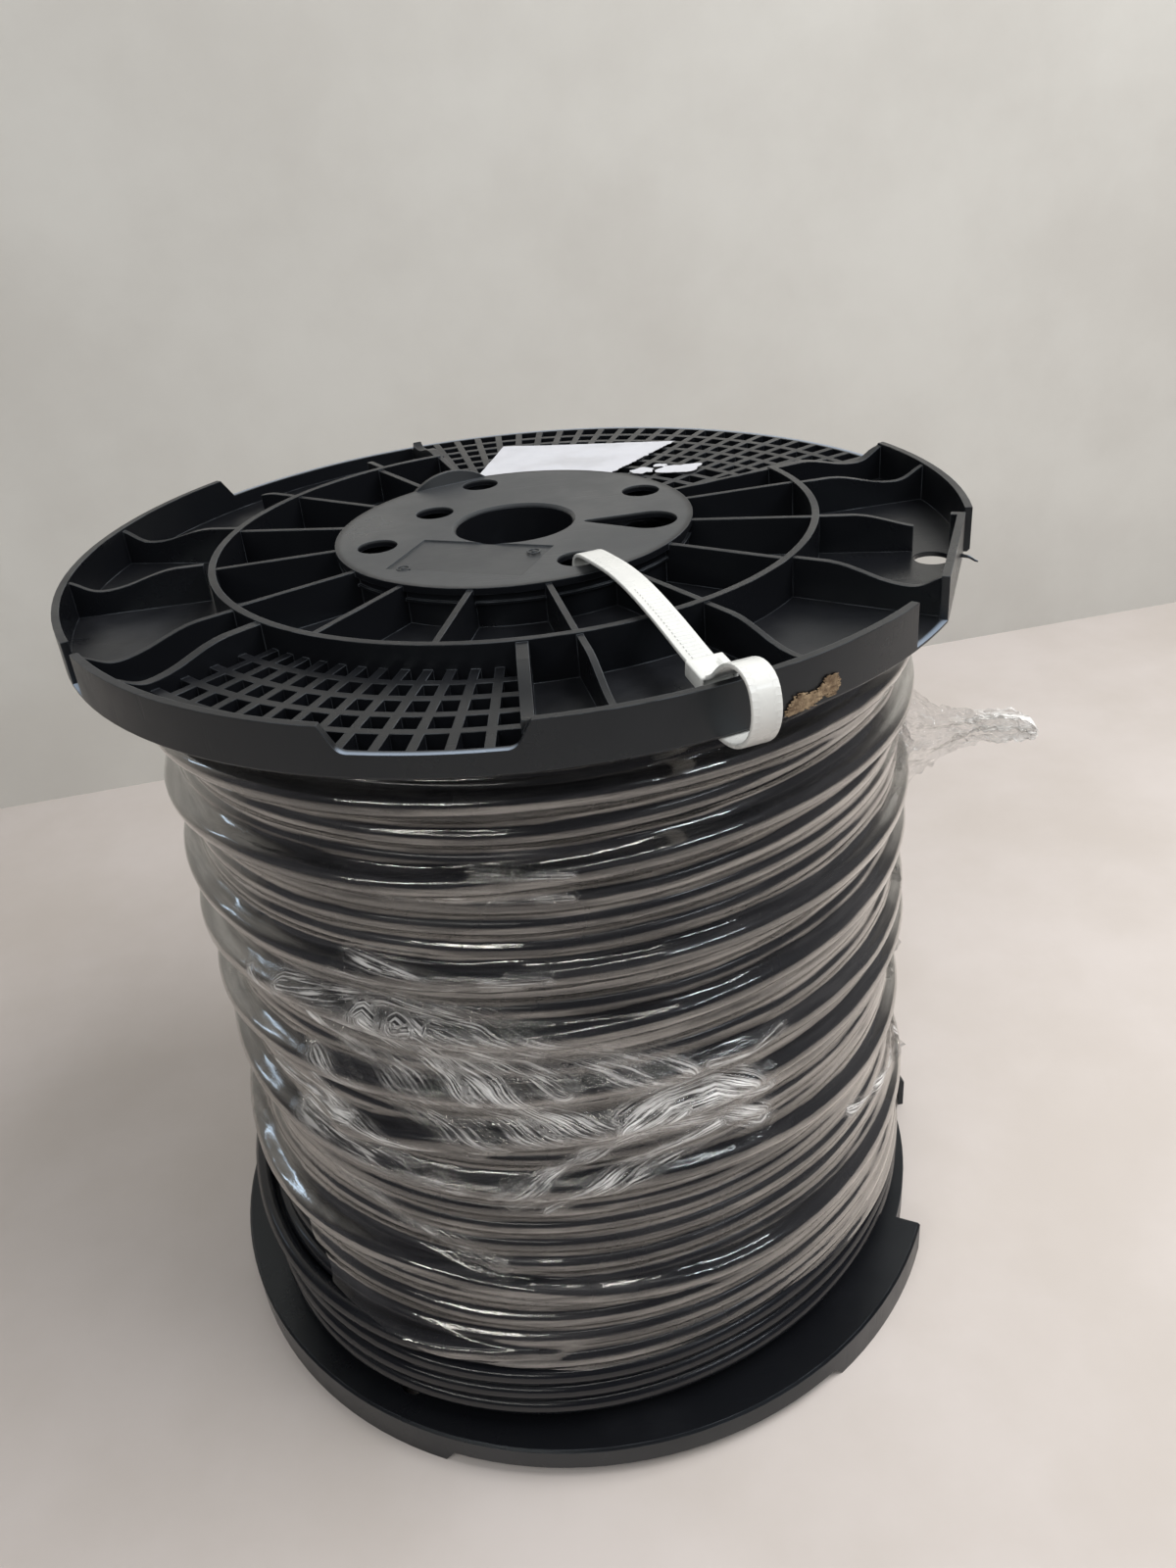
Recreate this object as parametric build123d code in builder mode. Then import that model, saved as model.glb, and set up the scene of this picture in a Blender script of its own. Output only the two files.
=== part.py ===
# Black plastic cable drum standing on its bottom flange, wound full of cable, with stretch film,
# a cable tie through the top flange and a paper label.
# Millimetres. Z is the bore axis and Z = 0 is the floor.
import os
from itertools import pairwise
from math import atan2, cos, degrees, radians, sin

from build123d import *

os.makedirs("parts", exist_ok=True)

# Drum
flange_diameter = 406.4
drum_height = 408.0
barrel_diameter = 101.6
barrel_wall = 4.0
bore_diameter = 54.0
bore_chamfer = 1.5
chamfer_slope = 45.0

# Flange moulding
flange_height = 20.0
deck_thickness = 2.2
rim_wall = 3.2
rim_edge_chamfer = 1.2
ring_diameter = 276.0
ring_wall = 3.2
hub_plate_diameter = 164.0
hub_plate_thickness = 3.0
hub_wall = 2.4
hub_overhang = 1.8
hub_bead = 1.2
hub_bead_drop = 7.0
bore_wall = 3.0
rib_thickness = 2.6
rib_drop = 0.8
wall_root = 0.6

# Ribs, degrees from +X, as the top flange is seen
inner_rib_first = 7.75
inner_rib_step = 22.5
outer_rib_angles = (7.0, -36.2, -60.0, -82.0, -148.6, 163.5, 142.5, 118.8)
broken_rib_from_rim = {142.5: 40.2, 118.8: 46.2}
free_inner_rib_angle = -176.0
free_inner_rib_gap = 3.0
free_outer_rib_angle = -14.5
free_outer_rib_from_rim = 24.8
rib_hump_length = 15.0
rib_dip_depth = 7.0
rib_dip_from_rim = 17.0
bound_rib_thickness = 4.6

# Lattices of the moulding
lattice_drop = 10.0
lattice_bar = 3.6
row_pitch = 12.6
front_lattice = (-139.6, -90.9)
front_lattice_cells = 13
back_lattice = (19.0, 105.4)
back_lattice_cells = 24
back_inner_cells = 12
hidden_bar_spread = 2

# Hub plate
drive_hole_diameter = 18.0
tie_hole = (25.0, -58.0)
drive_holes = ((62.1, 27.7), (-37.0, 27.0), (-62.0, -14.0), (-14.8, 66.4), tie_hole)
keyhole_angle = -15.7
keyhole_tip = 34.5
keyhole_centre = 63.5
keyhole_radius = 12.0
keyhole_tip_radius = 1.5
recess_length = 63.0
recess_width = 37.0
recess_depth = 0.8
recess_centre = (-20.3, -41.6)
recess_turn = -25.0
flap_angle = 112.0
flap_length = 42.0
flap_height = 6.5
flap_thickness = 2.4

# What the rims have lost or never had
rim_cut_depth = 10.0
rim_cut_slope = 35.0
back_cut = (21.0, 139.0)
window = (-109.0, -92.2)
window_slope = 6.0
window_corner = 5.0
slot = (-153.6, -149.4)
gap_start = -45.3
chord_start = -37.2
chord_end = -15.4
chord_end_inset = 3.5
chord_step = -13.6
chord_tee = 6.0
lead_hole_diameter = 16.0
lead_hole_from_rim = 16.7
lead_hole_angle = -17.5
bottom_turn = -14.5
bottom_cut = (-113.5, -56.5)
bottom_cut_depth = 7.5
bottom_notch = (-28.8, 3.0)
bottom_notch_depth = 13.2
bottom_lead_hole_from_rim = 21.2
bottom_lead_hole_angle = -122.8

# Winding
winding_top_from_rim = 22.2
winding_bottom_from_rim = 16.7
loose_turn_drops = (48.0, 80.0, 126.0, 156.0, 190.0, 243.0, 307.0)
loose_turn_rise = 9.0
loose_turn_spread = 10.0
foot_turns_height = 20.0
foot_turns_rise = 4.0
barrel_clearance = 0.5
winding_headroom = 3.2

# Stretch film
film_clearance = 0.4
film_thickness = 0.6
film_hollow = 5.0
film_bare_height = 44.0
film_top_gap = 6.0
film_tail_reach = 66.0
film_tail_width = 58.0
film_tail_thickness = 2.4
film_tail_drop = 86.0
film_tail_angle = -12.0
film_tail_clearance = 0.3

# Cable tie
strap_width = 13.0
strap_thickness = 1.8
tie_direction = -74.2
tie_clearance = 0.5
tie_hub_rise = 5.6
tie_hub_reach = 12.6
tie_bow = 8.4
tie_bow_from_hub = 45.0
tie_loop_reach = 33.0
tie_loop_rise = 12.0
tie_loop_sag = 4.0
tie_loop_radius = 8.0
tie_crown_inset = 3.3
tie_crown_start = 9.9
tie_crown_fall = 1.8
tie_bow_radius = 60.0
tie_corner_radius = 3.0
tie_head_length = 17.0
tie_head_width = 18.0
tie_head_height = 7.5
tie_head_from_rim = 21.0
tie_head_drop = 3.5
tie_head_tilt = -8.0
tie_head_corner = 1.5

# Paper label
label_length = 101.6
label_width = 76.2
label_thickness = 0.3
label_from_rim = 77.4
label_angle = 72.5
label_turn = -15.5
label_corner_radius = 3.0

# Worked out from the sizes above
flange_radius = flange_diameter / 2
rim_inner = flange_radius - rim_wall
ring_radius = ring_diameter / 2
hub_radius = hub_plate_diameter / 2
hub_wall_outer = hub_radius - hub_overhang
hub_wall_inner = hub_wall_outer - hub_wall
bore_radius = bore_diameter / 2
barrel_radius = barrel_diameter / 2
deck_top = deck_thickness - flange_height
lattice_top = -lattice_drop
wall_foot = deck_top - wall_root
traverse = drum_height - 2 * flange_height
winding_length = traverse - winding_headroom
lattice_rows = int((rim_inner - ring_radius) / row_pitch)
hub_rows = int((ring_radius - hub_wall_outer) / row_pitch)


def polar(radius, angle):
    return (radius * cos(radians(angle)), radius * sin(radians(angle)))


def rib_plane(angle, origin=(0, 0, 0)):
    # An upright plane along a rib: its X runs outwards and its Y runs up
    turn = radians(angle)
    return Plane(origin=origin, x_dir=(cos(turn), sin(turn), 0), z_dir=(sin(turn), -cos(turn), 0))


def sector(inner, outer, start, end):
    # A closed outline between two radii and two angles
    with BuildLine() as outline:
        near = CenterArc((0, 0), inner, start, end - start)
        far = CenterArc((0, 0), outer, start, end - start)
        Line(near @ 0, far @ 0)
        Line(near @ 1, far @ 1)
    return outline


def waved_top(reach):
    # Outline of an outer rib: level beside the ring, a dip inside the rim, and up again to the rim
    start = ring_radius - ring_wall / 2
    dip = flange_radius - rib_dip_from_rim
    knee = ring_radius + rib_hump_length
    with BuildLine() as outline:
        level = Line((start, -rib_drop), (knee, -rib_drop))
        fall = Spline(level @ 1, (dip, -rib_dip_depth), tangents=((1, -0.05), (1, 0)))
        rise = Spline(fall @ 1, (reach, -rib_drop), tangents=((1, 0), (1, 0.25)))
        Polyline(rise @ 1, (reach, wall_foot), (start, wall_foot), level @ 0)
    return outline


# Ribs of the moulding, whose outer plane is Z = 0 here and whose smooth face looks down
with BuildPart() as ribs:
    # Straight ones from the hub to the ring, outside the back lattice
    straight_angles = [inner_rib_first + index * inner_rib_step for index in range(16)]
    straight_angles = [angle for angle in straight_angles if not back_lattice[0] < angle < back_lattice[1]]
    for angle in straight_angles + list(back_lattice):
        with BuildSketch(rib_plane(angle)):
            with Locations((hub_wall_outer - hub_wall / 2, wall_foot)):
                Rectangle(ring_radius - hub_wall_outer, -wall_foot - rib_drop, align=(Align.MIN, Align.MIN))
        extrude(amount=rib_thickness / 2, both=True)
    # Waved ones from the ring to the rim
    for angle in outer_rib_angles:
        with BuildSketch(rib_plane(angle)):
            make_face(waved_top(rim_inner + rim_wall / 2).edges())
            if angle in broken_rib_from_rim:
                with Locations((flange_radius - broken_rib_from_rim[angle], -flange_height)):
                    Rectangle(flange_radius, 2 * flange_height, align=(Align.MIN, Align.MIN),
                              mode=Mode.SUBTRACT)
        extrude(amount=rib_thickness / 2, both=True)
    # Thicker ones that bound the lattices
    for angle in front_lattice + back_lattice:
        with BuildSketch(rib_plane(angle)):
            make_face(waved_top(rim_inner + rim_wall / 2).edges())
        extrude(amount=bound_rib_thickness / 2, both=True)
    # One that starts clear of the ring, and one that stops short of the rim
    with BuildSketch(rib_plane(free_inner_rib_angle)):
        make_face(waved_top(rim_inner + rim_wall / 2).edges())
        with Locations((0, -flange_height)):
            Rectangle(ring_radius + free_inner_rib_gap, 2 * flange_height, align=(Align.MIN, Align.MIN),
                      mode=Mode.SUBTRACT)
    extrude(amount=rib_thickness / 2, both=True)
    with BuildSketch(rib_plane(free_outer_rib_angle)):
        make_face(waved_top(rim_inner + rim_wall / 2).edges())
        with Locations((flange_radius - free_outer_rib_from_rim, -flange_height)):
            Rectangle(flange_radius, 2 * flange_height, align=(Align.MIN, Align.MIN), mode=Mode.SUBTRACT)
    extrude(amount=rib_thickness / 2, both=True)


def grid(inner, outer, bounds, cells, rows):
    # Bars along the radius between two walls, crossed by rows of bars that run from bar to bar
    turns = [bounds[0] + (bounds[1] - bounds[0]) * n / cells for n in range(cells + 1)]
    with Locations(*[Location((0, 0), turn) for turn in turns[1:-1]]):
        with Locations((inner, 0)):
            Rectangle(outer - inner, lattice_bar, align=(Align.MIN, Align.CENTER))
    for row in rows:
        near = [polar(row - lattice_bar, turn) for turn in turns]
        far = [polar(row, turn) for turn in reversed(turns)]
        Polygon(*near, *far, align=None)


# Lattices, sunk below the ribs. The ones under the drum have their bars further apart.
lattices = []
for spread in (1, hidden_bar_spread):
    outer_rows = [ring_radius + row * row_pitch for row in range(spread, lattice_rows + 1, spread)]
    inner_rows = [ring_radius - row * row_pitch for row in range(0, hub_rows + 1, spread)]
    with BuildPart() as lattice:
        with BuildSketch(Plane.XY.offset(wall_foot)):
            ring_middle = ring_radius - ring_wall / 2
            rim_middle = rim_inner + rim_wall / 2
            grid(ring_middle, rim_middle, front_lattice, front_lattice_cells // spread, outer_rows)
            grid(ring_middle, rim_middle, back_lattice, back_lattice_cells // spread, outer_rows)
            hub_middle = hub_wall_inner + hub_wall / 2
            grid(hub_middle, ring_middle, back_lattice, back_inner_cells // spread, inner_rows)
        extrude(amount=lattice_top - wall_foot)
    lattices.append(lattice.part)

# One moulding serves for both flanges, before its lattices go in
with BuildPart() as moulding:
    # Everything round the axis: smooth deck, rim, hub wall, hub plate and bore collar
    with BuildSketch(Plane.XZ) as section:
        with Locations((bore_radius, -flange_height)):
            Rectangle(flange_radius - bore_radius, deck_thickness, align=(Align.MIN, Align.MIN))
            Rectangle(bore_wall, flange_height, align=(Align.MIN, Align.MIN))
        with Locations((rim_inner, -flange_height)):
            Rectangle(rim_wall, flange_height, align=(Align.MIN, Align.MIN))
        with Locations((hub_wall_inner, -flange_height)):
            Rectangle(hub_wall, flange_height, align=(Align.MIN, Align.MIN))
        with Locations((bore_radius, -hub_plate_thickness)):
            Rectangle(hub_radius - bore_radius, hub_plate_thickness, align=(Align.MIN, Align.MIN))
        with Locations((hub_wall_inner + hub_wall, -hub_bead_drop)):
            Rectangle(hub_bead, hub_bead, align=(Align.MIN, Align.CENTER))
        chamfer(section.vertices().group_by(Axis.X)[-1].sort_by(Axis.Y)[0], rim_edge_chamfer)
    revolve(axis=Axis.Z)
    # Ring between hub and rim, left out of the back lattice
    with BuildSketch(Plane.XY.offset(deck_top - wall_root)):
        ring_start = back_lattice[1] - 360
        make_face(sector(ring_radius - ring_wall, ring_radius, ring_start, back_lattice[0]).edges())
    extrude(amount=wall_root - deck_top)
    add(ribs.part)
    # Holes through the hub plate and the deck
    with BuildSketch(Plane.XY.offset(-flange_height)):
        with Locations(*drive_holes):
            Circle(drive_hole_diameter / 2)
    extrude(amount=flange_height, mode=Mode.SUBTRACT)
    # Keyhole and sunk panel of the hub plate
    with BuildSketch(Plane.XY.offset(-hub_plate_thickness)) as keyhole:
        with Locations(polar(keyhole_centre, keyhole_angle)):
            Circle(keyhole_radius)
        with Locations(polar(keyhole_tip, keyhole_angle)):
            Circle(keyhole_tip_radius)
        make_hull()
    extrude(amount=hub_plate_thickness, mode=Mode.SUBTRACT)
    with BuildSketch():
        with Locations(Location(recess_centre, recess_turn)):
            Rectangle(recess_length, recess_width)
    extrude(amount=-recess_depth, mode=Mode.SUBTRACT)

top = drum_height
inner_top = drum_height - flange_height
chord_inner = Vector(*polar(flange_radius, chord_start))
chord_outer = Vector(*polar(flange_radius - chord_end_inset, chord_end))
chord_vector = chord_outer - chord_inner
chord_turn = degrees(atan2(chord_vector.Y, chord_vector.X))
outside = flange_radius + 2 * rim_wall
beyond = flange_diameter

# Top flange
with BuildPart() as top_flange:
    with Locations((0, 0, top)):
        add(moulding.part)
    # Bent up half-moon at the edge of the hub plate
    flap_foot = polar(hub_radius - flap_thickness, flap_angle)
    with BuildSketch(rib_plane(flap_angle + 90, (*flap_foot, top))):
        with BuildLine():
            crown = ThreePointArc((-flap_length / 2, -hub_plate_thickness / 2), (0, flap_height),
                                  (flap_length / 2, -hub_plate_thickness / 2))
            Line(crown @ 0, crown @ 1)
        make_face()
    extrude(amount=flap_thickness / 2, both=True)
    # The back of the rim is down at the level of the lattice
    with BuildSketch(Plane.XY.offset(top - rim_cut_depth)):
        make_face(sector(rim_inner - rim_wall, outside, *back_cut).edges())
    extrude(amount=rim_cut_depth, taper=-rim_cut_slope, mode=Mode.SUBTRACT)
    # Window in front with rounded corners
    middle = sum(window) / 2
    window_half = flange_radius * sin(radians((window[1] - window[0]) / 2))
    with BuildSketch(rib_plane(middle + 90, (*polar(flange_radius, middle), top))) as window_shape:
        with BuildLine():
            Polyline((-window_half - window_slope, 0), (-window_half, -rim_cut_depth),
                     (window_half, -rim_cut_depth), (window_half + window_slope, 0), close=True)
        make_face()
        fillet(window_shape.vertices().group_by(Axis.Y)[0], window_corner)
    extrude(amount=3 * rim_wall, both=True, mode=Mode.SUBTRACT)
    # Narrow slot at the left, and the gap beside the inset wall
    with BuildSketch(Plane.XY.offset(top + deck_top)):
        make_face(sector(rim_inner - wall_root, outside, *slot).edges())
        make_face(sector(rim_inner - wall_root, outside, gap_start, chord_start).edges())
    extrude(amount=-deck_top, mode=Mode.SUBTRACT)
    # Straight inset wall with its tee end, in place of the round rim
    with BuildSketch(Plane.XY.offset(inner_top)):
        with BuildLine():
            Polyline(chord_inner, chord_outer, polar(flange_radius - chord_end_inset, chord_step),
                     polar(beyond, chord_step), polar(beyond, chord_start), close=True)
        make_face()
    extrude(amount=flange_height, mode=Mode.SUBTRACT)
    with BuildSketch(Plane.XY.offset(top + deck_top)):
        with Locations(Location(chord_inner, chord_turn)):
            Rectangle(chord_vector.length, rim_wall, align=(Align.MIN, Align.MIN))
        with Locations(Location(chord_outer, chord_turn)):
            Rectangle(rim_wall, chord_tee, align=(Align.MAX, Align.MIN))
    extrude(amount=-deck_top)
    # Hole for the cable's end, and the eased mouth of the bore
    with BuildSketch(Plane.XY.offset(inner_top)):
        with Locations(polar(flange_radius - lead_hole_from_rim, lead_hole_angle)):
            Circle(lead_hole_diameter / 2)
    extrude(amount=deck_thickness, mode=Mode.SUBTRACT)
    with BuildSketch(Plane.XY.offset(top)):
        Circle(bore_radius + bore_chamfer)
    extrude(amount=-bore_chamfer, taper=chamfer_slope, mode=Mode.SUBTRACT)
    with Locations((0, 0, top)):
        add(lattices[0])

# Bottom flange: the same moulding turned over
turned_over = Location((0, 0, 0), (0, 0, bottom_turn)) * Location((0, 0, 0), (180, 0, 0))
with BuildPart() as bottom_flange:
    with Locations(turned_over):
        add(moulding.part)
    # Part of the rim is clear of the floor
    with BuildSketch(Plane.XY.offset(bottom_cut_depth)):
        make_face(sector(rim_inner - rim_wall, outside, *bottom_cut).edges())
    extrude(amount=-bottom_cut_depth, taper=-rim_cut_slope, mode=Mode.SUBTRACT)
    # Notch in the edge, closed by a wall of its own
    bottom_notch_radius = flange_radius - bottom_notch_depth
    with BuildSketch():
        make_face(sector(bottom_notch_radius, outside, *bottom_notch).edges())
    extrude(amount=flange_height, mode=Mode.SUBTRACT)
    with BuildSketch():
        make_face(sector(bottom_notch_radius - rim_wall, bottom_notch_radius, *bottom_notch).edges())
    extrude(amount=flange_height)
    # Hole for the cable's inner end
    with BuildSketch(Plane.XY.offset(flange_height)):
        with Locations(polar(flange_radius - bottom_lead_hole_from_rim, bottom_lead_hole_angle)):
            Circle(lead_hole_diameter / 2)
    extrude(amount=-deck_thickness, mode=Mode.SUBTRACT)
    with Locations(turned_over):
        add(lattices[1])

# Barrel between the flanges
with BuildPart() as drum_barrel:
    with BuildSketch(Plane.XY.offset(flange_height)):
        Circle(barrel_radius)
        Circle(barrel_radius - barrel_wall, mode=Mode.SUBTRACT)
    extrude(amount=traverse)


def winding_surface(height):
    # Radius that the loose turns reach at a height: the pack is a little fuller near the floor
    share = (height - flange_height) / winding_length
    from_rim = winding_bottom_from_rim + share * (winding_top_from_rim - winding_bottom_from_rim)
    return flange_radius - from_rim


def pack_side(foot, head, rise, gap):
    # Points up the side of the pack: a ridge for each loose turn, with a level stretch between two ridges
    crests = sorted(drum_height - drop for drop in loose_turn_drops)
    crests = [crest for crest in crests if crest > foot + loose_turn_spread]
    levels = [foot, *crests, head]
    points = []
    for low, high in pairwise(levels):
        level = winding_surface((low + high) / 2) - rise + gap
        points.append((level, foot if low == foot else low + loose_turn_spread))
        points.append((level, head if high == head else high - loose_turn_spread))
        if high != head:
            points.append((winding_surface(high) + gap, high))
    return points


# Cable, wound full: one turned body with a ridge for each loose turn and a bulge of loose turns at its foot
winding_head = flange_height + winding_length
film_foot = flange_height + film_bare_height
with BuildPart() as cable_winding:
    with BuildSketch(Plane.XZ):
        with BuildLine():
            bore = barrel_radius + barrel_clearance
            foot_reach = winding_surface(flange_height)
            bulge = (foot_reach + foot_turns_rise, flange_height + foot_turns_height)
            side = pack_side(film_foot, winding_head, loose_turn_rise, 0)
            Polyline((bore, flange_height), (foot_reach, flange_height), bulge, *side, (bore, winding_head),
                     close=True)
        make_face()
    revolve(axis=Axis.Z)

# Stretch film round the winding, drawn over its loose turns, with a free tail under the top flange
film_head = inner_top - film_top_gap
with BuildPart() as stretch_film:
    with BuildSketch(Plane.XZ):
        with BuildLine():
            inside = pack_side(film_foot, film_head, film_hollow, film_clearance)
            outer = pack_side(film_foot, film_head, film_hollow, film_clearance + film_thickness)
            Polyline(*inside, *reversed(outer), close=True)
        make_face()
    revolve(axis=Axis.Z)
    tail_head = top - film_tail_drop
    tail_foot = tail_head - film_tail_width
    tail_root = film_clearance + film_thickness + film_tail_clearance
    with BuildSketch(rib_plane(film_tail_angle)):
        with BuildLine():
            root_head = (winding_surface(tail_head) + tail_root, tail_head)
            root_foot = (winding_surface(tail_foot) + tail_root, tail_foot)
            tip = (winding_surface(tail_foot) + film_tail_reach, (tail_head + tail_foot) / 2)
            upper_middle = ((root_head[0] + tip[0]) / 2, tail_head - film_tail_width / 3)
            lower_middle = ((root_foot[0] + tip[0]) / 2, tail_foot + film_tail_width / 8)
            upper = ThreePointArc(root_head, upper_middle, tip)
            lower = ThreePointArc(tip, lower_middle, root_foot)
            Line(root_foot, root_head)
        make_face()
    extrude(amount=film_tail_thickness / 2, both=True)

# Cable tie: one closed strap from the hub, through its head, round in a loose loop outside the rim and back
# under the flange
with BuildPart() as cable_tie:
    tie_turn = radians(tie_direction)
    tie_origin = Vector(*tie_hole, top)
    along = Vector(cos(tie_turn), sin(tie_turn), 0)
    lever = tie_hole[0] * along.X + tie_hole[1] * along.Y
    tie_rim = -lever + (lever ** 2 + flange_radius ** 2 - tie_hole[0] ** 2 - tie_hole[1] ** 2) ** 0.5
    under = -flange_height - tie_clearance - strap_thickness
    hub_side = -drive_hole_diameter / 4
    head_reach = tie_rim - tie_head_from_rim
    corners = {(hub_side, under): tie_corner_radius,
               (tie_rim + strap_thickness, under): tie_loop_radius,
               (tie_rim + tie_loop_reach, -tie_loop_sag): tie_loop_radius,
               (tie_rim + tie_loop_reach - tie_crown_inset, tie_loop_rise): tie_loop_radius,
               (tie_rim + tie_crown_start, tie_loop_rise - tie_crown_fall): tie_loop_radius,
               (head_reach, -tie_head_drop): tie_loop_radius,
               (tie_bow_from_hub * 2, tie_bow / 2): tie_bow_radius,
               (tie_bow_from_hub, tie_bow): tie_bow_radius,
               (tie_hub_reach, tie_hub_rise): tie_loop_radius,
               (hub_side, -hub_plate_thickness): tie_corner_radius}
    with BuildSketch(rib_plane(tie_direction, tie_origin)) as strap_loop:
        with BuildLine():
            FilletPolyline(*corners, radius=corners.values(), close=True)
        make_face()
        offset(amount=-strap_thickness, mode=Mode.SUBTRACT)
    extrude(amount=strap_width / 2, both=True)
    # The head hangs just inside the rim
    with BuildSketch(rib_plane(tie_direction, tie_origin)):
        with Locations(Location((head_reach, -tie_head_drop), tie_head_tilt)):
            RectangleRounded(tie_head_length, tie_head_height, tie_head_corner)
    extrude(amount=tie_head_width / 2, both=True)

# Paper label lying on the back lattice
with BuildPart() as paper_label:
    with BuildSketch(Plane.XY.offset(top - lattice_drop)):
        with Locations(Location(polar(flange_radius - label_from_rim, label_angle), label_turn)):
            RectangleRounded(label_length, label_width, label_corner_radius)
    extrude(amount=label_thickness)

pieces = {"top_flange": top_flange, "bottom_flange": bottom_flange, "drum_barrel": drum_barrel,
          "cable_winding": cable_winding, "stretch_film": stretch_film, "cable_tie": cable_tie,
          "paper_label": paper_label}
for name, piece in pieces.items():
    piece.part.label = name
    export_step(piece.part, f"parts/{name}.step")
    print(name, round(piece.part.volume / 1000, 1), "cm3")
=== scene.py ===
# A cable drum of black plastic, wound full of cable and wrapped in film, on a pale floor.
import math

import bmesh
import bpy
import numpy as np
from mathutils import Matrix, Vector, noise


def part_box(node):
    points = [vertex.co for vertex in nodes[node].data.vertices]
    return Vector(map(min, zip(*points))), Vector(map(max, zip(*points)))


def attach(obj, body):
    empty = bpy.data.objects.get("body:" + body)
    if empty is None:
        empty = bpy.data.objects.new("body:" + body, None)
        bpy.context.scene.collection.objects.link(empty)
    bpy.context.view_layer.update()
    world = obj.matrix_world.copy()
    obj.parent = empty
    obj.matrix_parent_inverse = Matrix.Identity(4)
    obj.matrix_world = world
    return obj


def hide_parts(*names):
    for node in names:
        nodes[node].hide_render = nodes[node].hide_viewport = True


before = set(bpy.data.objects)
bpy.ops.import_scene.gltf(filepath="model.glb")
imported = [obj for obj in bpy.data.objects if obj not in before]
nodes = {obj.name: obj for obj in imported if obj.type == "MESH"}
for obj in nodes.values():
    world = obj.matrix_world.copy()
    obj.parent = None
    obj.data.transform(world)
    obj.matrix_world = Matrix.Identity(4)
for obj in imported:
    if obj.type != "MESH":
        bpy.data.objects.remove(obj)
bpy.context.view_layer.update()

mm = 0.001

# The drum's own heights and radii, read from the frame
barrelLow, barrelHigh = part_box("drum_barrel")
deckLow = barrelLow.z            # deck of the bottom flange, where the winding starts
deckHigh = barrelHigh.z          # deck of the top flange
flangeTop = deckHigh + deckLow   # outer plane of the top flange
flangeRadius = -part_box("top_flange")[0].y


def deselectAll():
    bpy.ops.object.select_all(action="DESELECT")


def pickOnly(*pieces):
    deselectAll()
    for piece in pieces:
        piece.select_set(True)
    bpy.context.view_layer.objects.active = pieces[0]


def applyModifiers(piece):
    pickOnly(piece)
    for modifier in list(piece.modifiers):
        bpy.ops.object.modifier_apply(modifier=modifier.name)


def bakePlace(piece):
    pickOnly(piece)
    bpy.ops.object.transform_apply(location=True, rotation=True, scale=True)


def smoothShade(piece, degrees=40):
    pickOnly(piece)
    bpy.ops.object.shade_smooth_by_angle(angle=math.radians(degrees))


def meshPiece(name, vertices, faces):
    mesh = bpy.data.meshes.new(name)
    mesh.from_pydata(vertices, [], faces)
    mesh.update()
    piece = bpy.data.objects.new(name, mesh)
    bpy.context.scene.collection.objects.link(piece)
    return piece


def onDrum(piece, material):
    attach(piece, "root")
    piece.data.materials.clear()
    piece.data.materials.append(material)


def bevelEdges(piece, width):
    edge = piece.modifiers.new("edge", "BEVEL")
    edge.width = width
    edge.segments = 3
    edge.limit_method = "ANGLE"
    applyModifiers(piece)


def thicken(piece, thickness, offset):
    thick = piece.modifiers.new("thickness", "SOLIDIFY")
    thick.thickness = thickness
    thick.offset = offset
    applyModifiers(piece)


def joinPieces(name, *pieces):
    pickOnly(*pieces)
    bpy.ops.object.join()
    bpy.context.object.name = name
    return bpy.context.object


def ramp(value, low, high):
    # 0 below low, 1 above high, smooth between
    share = np.clip((value - low) / (high - low), 0, 1)
    return share * share * (3 - 2 * share)


# Materials
def newMaterial(name, **sockets):
    material = bpy.data.materials.new(name)
    material.use_nodes = True
    shader = material.node_tree.nodes["Principled BSDF"]
    for socket, value in sockets.items():
        shader.inputs[socket.replace("_", " ")].default_value = value
    return material, material.node_tree, shader


def addNode(tree, kind, inputs=None, **settings):
    made = tree.nodes.new("ShaderNode" + kind)
    for key, value in settings.items():
        setattr(made, key, value)
    for key, value in (inputs or {}).items():
        if isinstance(value, bpy.types.NodeSocket):
            tree.links.new(value, made.inputs[key])
        else:
            made.inputs[key].default_value = value
    return made


def plug(tree, shader, **sockets):
    for socket, value in sockets.items():
        tree.links.new(value, shader.inputs[socket.replace("_", " ")])


def objectPlace(tree):
    return addNode(tree, "TexCoord").outputs["Object"]


def maths(tree, operation, first, second, clamp=False):
    return addNode(tree, "Math", {0: first, 1: second}, operation=operation, use_clamp=clamp).outputs[0]


def times(tree, first, second):
    return maths(tree, "MULTIPLY", first, second)


def plus(tree, first, second, clamp=False):
    return maths(tree, "ADD", first, second, clamp)


def remap(tree, value, low, high, toLow=0.0, toHigh=1.0):
    spans = {"Value": value, "From Min": low, "From Max": high, "To Min": toLow, "To Max": toHigh}
    return addNode(tree, "MapRange", spans, interpolation_type="SMOOTHSTEP").outputs[0]


def stepAt(tree, value, base, offsets):
    # From 0 to 1 between two places, each given in millimetres from the base
    return remap(tree, value, *(base + offset * mm for offset in offsets))


def mixColour(tree, share, first, second):
    inputs = {0: share, 6: first, 7: second}
    return addNode(tree, "Mix", inputs, data_type="RGBA", clamp_factor=True).outputs[2]


def noiseAt(tree, place, scale, detail, stretch=(1, 1, 1), turn=(0, 0, 0), roughness=0.5, distortion=0):
    placed = addNode(tree, "Mapping", {"Vector": place, "Scale": stretch, "Rotation": turn})
    made = addNode(tree, "TexNoise", {"Vector": placed.outputs[0], "Scale": scale, "Detail": detail,
                                      "Roughness": roughness, "Distortion": distortion})
    return made.outputs["Fac"]


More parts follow.
